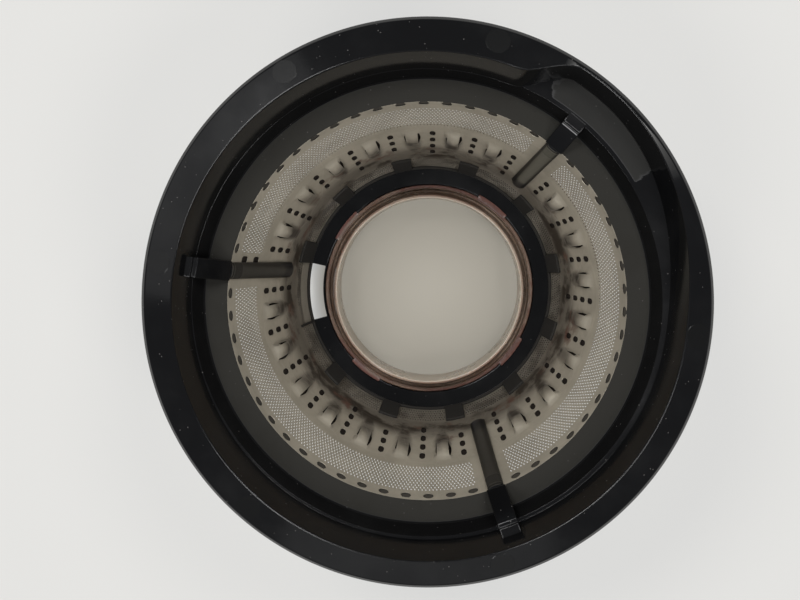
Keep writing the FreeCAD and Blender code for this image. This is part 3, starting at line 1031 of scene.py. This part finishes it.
clouds, ins, mask = new_group("cloudy stain", {"Scale": 60.0, "Low": 0.45, "High": 0.7})
noise = add_node(clouds, "ShaderNodeTexNoise", {"Vector": ins["Vector"], "Scale": ins["Scale"],
                                                "Detail": 5.0, "Roughness": 0.6})
feed(clouds, map_range(clouds, noise.outputs["Fac"], ins["Low"], ins["High"]), mask)

scratches, ins, mask = new_group("fine scratches", {"Scale": 90.0, "Width": 0.02})
warp = add_node(scratches, "ShaderNodeMapping", {"Vector": ins["Vector"], "Rotation": (0.5, 0.9, 0.4),
                                                 "Scale": (1.0, 0.12, 0.4)})
lines = add_node(scratches, "ShaderNodeTexVoronoi", {"Vector": warp.outputs["Vector"], "Scale": ins["Scale"]},
                 feature="DISTANCE_TO_EDGE")
feed(scratches, math_node(scratches, "LESS_THAN", lines.outputs["Distance"], ins["Width"]), mask)
print("node groups", [group.name for group in (dust, clouds, scratches)])

# %% [markdown]
# ## Black moulding
# Polished black plastic with dust on it. The ledge, where the steel's edge is moulded in, and the floor of
# the pocket are textured and look a matt grey. Juice and pulp have dulled what lies behind and inside the
# steel. The crown of the rib in the pocket carries a painted highlight, and the ribs' noses painted shade.
# One material does all: masks from the height, the radius and the direction tell it where they
# are, so the borders stay exact and no picture is needed.

# %% Masks of a place
def new_material(name):
    material = bpy.data.materials.new(name)
    material.use_nodes = True
    tree = material.node_tree
    tree.nodes.clear()
    shader = tree.nodes.new("ShaderNodeBsdfPrincipled")
    output = tree.nodes.new("ShaderNodeOutputMaterial")
    feed(tree, shader.outputs["BSDF"], output.inputs["Surface"])
    place = tree.nodes.new("ShaderNodeTexCoord").outputs["Object"]
    return material, tree, shader, place


def split_place(tree, place):
    return add_node(tree, "ShaderNodeSeparateXYZ", {"Vector": place}).outputs


def height_and_radius(tree, place):
    split = split_place(tree, place)
    flat = add_node(tree, "ShaderNodeCombineXYZ", {"X": split["X"], "Y": split["Y"]})
    length = add_node(tree, "ShaderNodeVectorMath", {0: flat.outputs["Vector"]}, operation="LENGTH")
    return split["Z"], length.outputs["Value"]


def near_level(tree, up, level, inner, outer):
    """Mask of a level: 1 within the inner distance of it and 0 beyond the outer one."""
    gap = math_node(tree, "ABSOLUTE", math_node(tree, "SUBTRACT", up, level * MM))
    return fade(tree, gap, outer, inner)


def towards(tree, place, degrees, outer, inner, ragged=0.0):
    """Mask of a direction from the axis: 1 within the inner angle of it and 0 beyond the outer one."""
    split = split_place(tree, place)
    turn = math.radians(degrees)
    along = plus(tree, times(tree, split["X"], math.cos(turn)), times(tree, split["Y"], math.sin(turn)))
    reach = math_node(tree, "DIVIDE", along, height_and_radius(tree, place)[1])
    return map_range(tree, plus(tree, reach, ragged), math.cos(math.radians(outer)),
                     math.cos(math.radians(inner)))


def distance_off_cone(tree, up, out_r):
    """How far a point lies outside the steel's inner face."""
    rise = math_node(tree, "SUBTRACT", up, FLOOR * MM)
    cone = plus(tree, times(tree, rise, STEEL_TAPER), STEEL_LOW_R * MM)
    return math_node(tree, "SUBTRACT", out_r, cone)


# %% Where the moulding is dull
# A pair says where a mask is none and where it is full; a SOFT pair, how near a level it is full and
# how far from it none.
LEVEL_SOFT = 0.25, 0.5
LEDGE_OUTER, POCKET_INNER, HOLES_OUTER = (LEDGE_R, 51.5), (54.6, 55.0), (47.6, 47.3)
POCKET_MIDDLE, POCKET_SPAN, RAGGED_END = 54.6, (14.8, 13.6), 0.0045
HOLES_LEVEL, HOLES_SOFT = LEDGE - 3.2, (2.0, 2.4)
CAGE_FACE, CAGE_BACK, CAGE_TOP = (0.25, 0.4), (0.8, 0.6), (71.5, 70.5)
SILL_LEVEL, SILL_SOFT = FLOOR + 0.4, (0.8, 1.1)
INSIDE_STEEL = 0.0, -0.05
BAR_FOOT, BAR_TOP, CROWN_ABOVE_SHADED_NOSE = (29, 30), (LEDGE + 0.2, LEDGE - 0.8), (41, 45)
POST_FOOT, POST_TOP = (FLOOR + 0.2, FLOOR + 0.5), (29, 28)
BAR_DULL = 0.5
black_plastic, tree, shader, place = new_material("black moulding")
up, out_r = height_and_radius(tree, place)
on_ledge = times(tree, near_level(tree, up, LEDGE, *LEVEL_SOFT), fade(tree, out_r, *LEDGE_OUTER))
# The pocket's texture runs out unevenly at both ends.
uneven_end = use_group(tree, clouds, place, Scale=120.0, Low=0.3, High=0.7)
uneven_end = between(tree, uneven_end, -RAGGED_END, RAGGED_END)
in_pocket = times(tree, near_level(tree, up, STEP, *LEVEL_SOFT), fade(tree, out_r, *POCKET_INNER),
                  towards(tree, place, POCKET_MIDDLE, *POCKET_SPAN, uneven_end))
# Behind the locking holes the plastic is as rough as the sheet that it was moulded against.
behind_holes = times(tree, near_level(tree, up, HOLES_LEVEL, *HOLES_SOFT), fade(tree, out_r, *HOLES_OUTER))
# Elsewhere behind the steel juice has dried on the cage's inside and on the sill below the windows.
off_cone = distance_off_cone(tree, up, out_r)
behind_steel = times(tree, fade(tree, off_cone, *CAGE_FACE), fade(tree, off_cone, *CAGE_BACK),
                     fade(tree, up, *CAGE_TOP))
on_sill = times(tree, fade(tree, off_cone, *CAGE_FACE), near_level(tree, up, SILL_LEVEL, *SILL_SOFT))
behind_steel = most(tree, behind_steel, on_sill)
# Pulp has rubbed dull what stands inside the steel: the ribs' bars and the posts between the windows.
inside_steel = fade(tree, off_cone, *INSIDE_STEEL)
on_bar = times(tree, inside_steel, fade(tree, up, *BAR_FOOT), fade(tree, up, *BAR_TOP))
on_post = times(tree, inside_steel, fade(tree, up, *POST_FOOT), fade(tree, up, *POST_TOP))
matt = most(tree, on_ledge, in_pocket, behind_holes, behind_steel, on_post, times(tree, on_bar, BAR_DULL))

# %% Colour and gloss of the moulding
BLACK, BLACK_WORN = (0.003, 0.003, 0.0032, 1), (0.006, 0.006, 0.0061, 1)
LEDGE_GREY, HOLE_GREY = (0.0095, 0.0088, 0.0068, 1), (0.05, 0.045, 0.037, 1)
POCKET_GREY, POST_GREY = (0.0088, 0.0086, 0.0077, 1), (0.016, 0.0145, 0.0125, 1)
BAR_GREY, BAR_HIGHLIGHT, HIGHLIGHT_SPAN = (0.019, 0.017, 0.0135, 1), (0.075, 0.07, 0.054, 1), (2.1, 1.5)
JUICE_BROWN, DUST = (0.011, 0.007, 0.005, 1), (0.05, 0.047, 0.044, 1)
POLISHED, HAZY, MATT_MORE, DUST_ROUGH = 0.1, 0.17, 0.75, 0.8
PLASTIC_SHINE = 0.25


def add_grain(tree, place, shader, scale, detail, strength, depth):
    """A fine unevenness of the surface, as bump."""
    grain = add_node(tree, "ShaderNodeTexNoise", {"Vector": place, "Scale": scale, "Detail": detail})
    bump = add_node(tree, "ShaderNodeBump", {"Height": grain.outputs["Fac"], "Strength": strength,
                                             "Distance": depth * MM})
    feed(tree, bump.outputs["Normal"], shader.inputs["Normal"])


haze = use_group(tree, clouds, place, Scale=45.0, Low=0.4, High=0.75)
specks = use_group(tree, dust, place, Scale=1700.0, Amount=0.02)
# The crown's grey starts above the nose, so the nose keeps the black as painted shade on its steep end.
crown = times(tree, on_bar, fade(tree, up, *CROWN_ABOVE_SHADED_NOSE))
# A painted highlight runs pale along the middle of the crown of the rib in the pocket.
crown_highlight = times(tree, crown, towards(tree, place, POCKET_RIB, *HIGHLIGHT_SPAN))
colour = mix_colour(tree, haze, BLACK, BLACK_WORN)
for part, tint in ((on_ledge, LEDGE_GREY), (in_pocket, POCKET_GREY), (behind_holes, HOLE_GREY),
                   (behind_steel, JUICE_BROWN), (crown, BAR_GREY), (crown_highlight, BAR_HIGHLIGHT),
                   (on_post, POST_GREY), (specks, DUST)):
    colour = mix_colour(tree, part, colour, tint)
gloss = plus(tree, between(tree, haze, POLISHED, HAZY), times(tree, matt, MATT_MORE))
gloss = most(tree, gloss, times(tree, specks, DUST_ROUGH))
feed_all(tree, shader, {"Base Color": colour, "Roughness": gloss, "Specular IOR Level": PLASTIC_SHINE})
add_grain(tree, place, shader, scale=1500.0, detail=2.0, strength=0.06, depth=0.05)
print("black moulding", len(tree.nodes), "nodes")

# %% [markdown]
# ## Pin marks
# A pin's end isn't polished as the mould is, so its disc is only a shade greyer and duller than the
# flange. The difference is the same all over a disc, so plain numbers on the shader are enough.

# %% Finish of the pin marks
MARK_GREY, MARK_ROUGH = (0.004, 0.004, 0.0039, 1), 0.17
mark_plastic, tree, shader, place = new_material("pin mark")
feed_all(tree, shader, {"Base Color": MARK_GREY, "Roughness": MARK_ROUGH,
                        "Specular IOR Level": PLASTIC_SHINE})
print("pin mark", len(tree.nodes), "nodes")

# %% [markdown]
# ## Steel
# Rolled stainless sheet with etched slots has a dull, slightly warm sheen. Towards the floor and on the bumps
# it is browner and darker, partly from a stain of use and partly as painted shade deep in the cone, with
# reddish stains in the grinding zone. The brown is mixed in by height and broken up by the cloudy stain, so
# that no ring shows.

# %% Where the steel is stained and painted darker
BUMP_STAIN_SHADE_SIDE, BUMP_STAIN_SHADE_MIDDLE, BUMP_STAIN_SHADE_RISE = 0.3, 0.06, (50.5, 42)
LOW_STAIN_SHADE, RED_TOP, RED_LOW = (40, 30.5), (46, 36), (22, 30)
WINDOW_BAND, WINDOW_STAIN_SHADE = (23.5, 26.5), 0.78
OUTLET_SPAN, OUTLET_BAND, OUTLET_LIGHTER = (15.0, 13.0), (21, 19.8), 0.85
STAIN_SHADE_LEAST = 0.64
steel, tree, shader, place = new_material("dull steel")
up = height_and_radius(tree, place)[0]
stain = use_group(tree, clouds, place, Scale=110.0, Low=0.42, High=0.62)
rust = use_group(tree, clouds, place, Scale=140.0, Low=0.56, High=0.7)
# Brown pulp stain and painted shade sit on the bumps and below them, and all round near the floor.
split = split_place(tree, place)
turn = plus(tree, math_node(tree, "ARCTAN2", split["Y"], split["X"]), FULL_TURN)
bumps_on = plus(tree, math_node(tree, "DIVIDE", turn, math.radians(BUMP_PITCH)), 0.5)
from_bump = math_node(tree, "SUBTRACT", math_node(tree, "FRACT", bumps_on), 0.5)
from_bump = math_node(tree, "ABSOLUTE", from_bump)
bump_stain_and_shade = times(tree, map_range(tree, from_bump, BUMP_STAIN_SHADE_SIDE, BUMP_STAIN_SHADE_MIDDLE), fade(tree, up, *BUMP_STAIN_SHADE_RISE))
# The low windows carry less of this brown stain and painted shade, and so does the sheet above the outlet.
in_windows = fade(tree, up, *WINDOW_BAND, WINDOW_STAIN_SHADE, 1.0)
over_outlet = times(tree, towards(tree, place, OUTLET_MIDDLE, *OUTLET_SPAN), fade(tree, up, *OUTLET_BAND))
away_from_outlet = math_node(tree, "SUBTRACT", 1.0, times(tree, over_outlet, OUTLET_LIGHTER))
low_stain_and_shade = times(tree, most(tree, fade(tree, up, *LOW_STAIN_SHADE), bump_stain_and_shade), in_windows, away_from_outlet)
brown = times(tree, low_stain_and_shade, between(tree, stain, STAIN_SHADE_LEAST, 1.0))
red = times(tree, fade(tree, up, *RED_TOP), fade(tree, up, *RED_LOW), rust)

# %% Colour and sheen of the steel
STEEL, STEEL_DARK = (0.46, 0.42, 0.345, 1), (0.38, 0.345, 0.28, 1)
STAIN_AND_SHADE_BROWN, STAIN_RED = (0.045, 0.035, 0.025, 1), (0.13, 0.07, 0.05, 1)
STEEL_SHINY, STEEL_DULL, SCRATCH_SHINE, BROWN_ROUGH = 0.42, 0.55, -0.1, 0.15
STEEL_METALLIC = 0.55
tone = use_group(tree, clouds, place, Scale=70.0, Low=0.35, High=0.7)
wear = use_group(tree, scratches, place, Scale=120.0, Width=0.012)
colour = mix_colour(tree, tone, STEEL, STEEL_DARK)
# The brown stands partly for a stain of use and partly for painted shade low in the cone.
colour = mix_colour(tree, brown, colour, STAIN_AND_SHADE_BROWN)
colour = mix_colour(tree, red, colour, STAIN_RED)
sheen = plus(tree, between(tree, tone, STEEL_SHINY, STEEL_DULL), times(tree, wear, SCRATCH_SHINE),
             times(tree, brown, BROWN_ROUGH))
feed_all(tree, shader, {"Base Color": colour, "Roughness": sheen, "Metallic": STEEL_METALLIC})
add_grain(tree, place, shader, scale=900.0, detail=3.0, strength=0.1, depth=0.04)
print("dull steel", len(tree.nodes), "nodes")

# %% [markdown]
# ## Silicone
# The ring was once clear. Juice has stained it pinkish brown where pulp collects, while its bore is still
# pale and lets light through. Transmission would need a long render for little, so a soft subsurface
# scatter gives the glow, and the stain is mixed in by radius and cloud.

# %% Stained silicone
SILICONE, SILICONE_BROWN = (0.43, 0.37, 0.3, 1), (0.15, 0.094, 0.066, 1)
SILICONE_ROSE = (0.11, 0.048, 0.038, 1)
OFF_BORE, FLAT_BAND, LUG_BAND = (25.9, 26.15), (28.5, 29.0), (29.4, 29.9)
BROWN_LEAST, ROSE_LEAST, ROSE_MOST = 0.75, 0.25, 0.9
SEAL_SHINY, SEAL_DULL = 0.22, 0.4
GLOW_SHARE, GLOW_TINT, GLOW_DEPTH = 0.25, (1.0, 0.7, 0.5), 1.5
silicone, tree, shader, place = new_material("stained silicone")
out_r = height_and_radius(tree, place)[1]
stain = use_group(tree, clouds, place, Scale=90.0, Low=0.35, High=0.65)
rosy = use_group(tree, clouds, place, Scale=35.0, Low=0.45, High=0.6)
brown = times(tree, fade(tree, out_r, *OFF_BORE), between(tree, stain, BROWN_LEAST, 1.0))
rose = times(tree, fade(tree, out_r, *FLAT_BAND), between(tree, rosy, ROSE_LEAST, ROSE_MOST))
rose = most(tree, rose, fade(tree, out_r, *LUG_BAND))
colour = mix_colour(tree, brown, SILICONE, SILICONE_BROWN)
colour = mix_colour(tree, rose, colour, SILICONE_ROSE)
feed_all(tree, shader, {"Base Color": colour, "Roughness": between(tree, stain, SEAL_SHINY, SEAL_DULL),
                        "Subsurface Weight": GLOW_SHARE, "Subsurface Radius": GLOW_TINT,
                        "Subsurface Scale": GLOW_DEPTH * MM})
print("stained silicone", len(tree.nodes), "nodes")

# %% [markdown]
# ## Pieces on their body
# Every piece belongs to the one rigid body, takes its finish, and hides the solid that it stands for.

# %% Ride, replace and paint
def paint(piece, material):
    piece.data.materials.clear()
    piece.data.materials.append(material)


black_pieces = [mouth, cage, posts, floor, pin_marks] + rib_pieces
for piece in black_pieces:
    paint(piece, mark_plastic if piece == pin_marks else black_plastic)
    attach(piece, "root")
    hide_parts("frame")
for piece in steel_pieces:
    paint(piece, steel)
    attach(piece, "root")
    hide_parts("screen")
paint(seal, silicone)
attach(seal, "root")
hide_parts("seal_ring")
print("pieces", len(black_pieces) + len(steel_pieces) + 1)

# %% [markdown]
# ## Floor, light and camera
# The basket stands on a pale floor under soft studio light. The camera looks almost straight down the
# mouth: its place and tilt follow from how the circles of the basket shift against each other in the
# picture, which is 800 by 600 pixels.

# %% Pale floor
GROUND, GROUND_CLOUD, GROUND_ROUGH = (0.17, 0.16, 0.139), 0.97, 0.8
GROUND_SIZE, GROUND_DROP = 3000, 0.2
GLOW_LIGHT, GLOW_SHADE = (0.96, 0.98, 1.0, 1), (1.0, 0.93, 0.78, 1)
STRENGTH_LIGHT, STRENGTH_SHADE = 0.5, 0.16
SHADE_IN, SHADE_OUT = 27, 38
clear_selection()
bpy.ops.mesh.primitive_plane_add(size=GROUND_SIZE * MM, location=(0, 0, -GROUND_DROP * MM))
ground = name_piece("ground")
pale, tree, shader, place = new_material("pale floor")
soft_tone = use_group(tree, clouds, place, Scale=3.0, Low=0.3, High=0.8)
cloudy_ground = tuple(value * GROUND_CLOUD for value in GROUND)
colour = mix_colour(tree, soft_tone, GROUND + (1,), cloudy_ground + (1,))
# Seen directly, or in a reflection, the floor glows a little, and less so in the shade of the basket.
rays = tree.nodes.new("ShaderNodeLightPath").outputs
seen = most(tree, rays["Is Camera Ray"], rays["Is Glossy Ray"], rays["Is Transmission Ray"])
out_r = height_and_radius(tree, place)[1]
glow_colour = mix_colour(tree, fade(tree, out_r, SHADE_IN, SHADE_OUT), GLOW_SHADE, GLOW_LIGHT)
glow = fade(tree, out_r, SHADE_IN, SHADE_OUT, STRENGTH_SHADE, STRENGTH_LIGHT)
feed_all(tree, shader, {"Base Color": colour, "Roughness": GROUND_ROUGH, "Emission Color": glow_colour,
                        "Emission Strength": times(tree, seen, glow)})
ground.data.materials.append(pale)

# %% Soft light
IMAGE_TURN = math.radians(9.3)
LAMP_FAR, LAMP_HIGH, LAMP_SIZE, LAMP_AIM = 420, 860, 260, 50
LAMPS = (("key", 130, 4.4), ("fill right", 320, 3.2), ("fill left", 235, 3.2), ("fill top", 50, 3.2))
# Two wide, faint panels lie where the sloping flange mirrors them, and give it a soft sheen.
PANEL_FAR, PANEL_SIZE = 600, 700
PANELS = (("sheen left", 152, 0.9), ("sheen low", 268, 0.6))
ROOM_COLOUR, ROOM_STRENGTH = (0.9, 0.93, 1.0, 1), 0.22


def in_image(right, above, z):
    """Point right of and above the axis as the picture shows it, in metres."""
    return Matrix.Rotation(IMAGE_TURN, 3, "Z") @ Vector((right, above, z)) * MM


def soft_lights(lamps, far, high, aim_z, size):
    """Round area lights at a distance from the axis, each in its direction in the picture."""
    for name, degrees, power in lamps:
        turn = math.radians(degrees)
        place = in_image(far * math.cos(turn), far * math.sin(turn), high)
        clear_selection()
        bpy.ops.object.light_add(type="AREA", location=place)
        lamp = bpy.context.object
        lamp.name = name
        lamp.data.shape = "DISK"
        lamp.data.size = size * MM
        lamp.data.energy = power
        lamp.rotation_euler = (place - Vector((0, 0, aim_z * MM))).to_track_quat("Z", "Y").to_euler()


soft_lights(LAMPS, LAMP_FAR, LAMP_HIGH, LAMP_AIM, LAMP_SIZE)
soft_lights(PANELS, PANEL_FAR, PANEL_FAR + RIM, RIM, PANEL_SIZE)
world = bpy.data.worlds.new("pale room")
bpy.context.scene.world = world
world.use_nodes = True
backdrop = world.node_tree.nodes["Background"]
backdrop.inputs["Color"].default_value = ROOM_COLOUR
backdrop.inputs["Strength"].default_value = ROOM_STRENGTH
print("lights", len(LAMPS) + len(PANELS))

# %% Camera
FOCAL_PIXELS, IMAGE_WIDTH, SENSOR_WIDTH = 1177.0, 800.0, 36.0
CAMERA_RIGHT, CAMERA_ABOVE, CAMERA_HEIGHT = 3.5, 18.0, 261.46
NEAREST_SEEN = 10
DOWN_SEEN = Vector((0.0349, 0.0632, -1.0)).normalized()
clear_selection()
bpy.ops.object.camera_add()
camera = bpy.context.object
camera.data.sensor_width = SENSOR_WIDTH
camera.data.lens = FOCAL_PIXELS / IMAGE_WIDTH * SENSOR_WIDTH
camera.data.clip_start = NEAREST_SEEN * MM
tilt = DOWN_SEEN.rotation_difference(Vector((0, 0, -1))).to_matrix().to_4x4()
stand = Matrix.Translation(in_image(CAMERA_RIGHT, CAMERA_ABOVE, EDGE + CAMERA_HEIGHT))
camera.matrix_world = stand @ Matrix.Rotation(IMAGE_TURN, 4, "Z") @ tilt
bpy.context.scene.camera = camera
bpy.context.scene.view_settings.view_transform = "Standard"
print("lens in mm", round(camera.data.lens, 2))
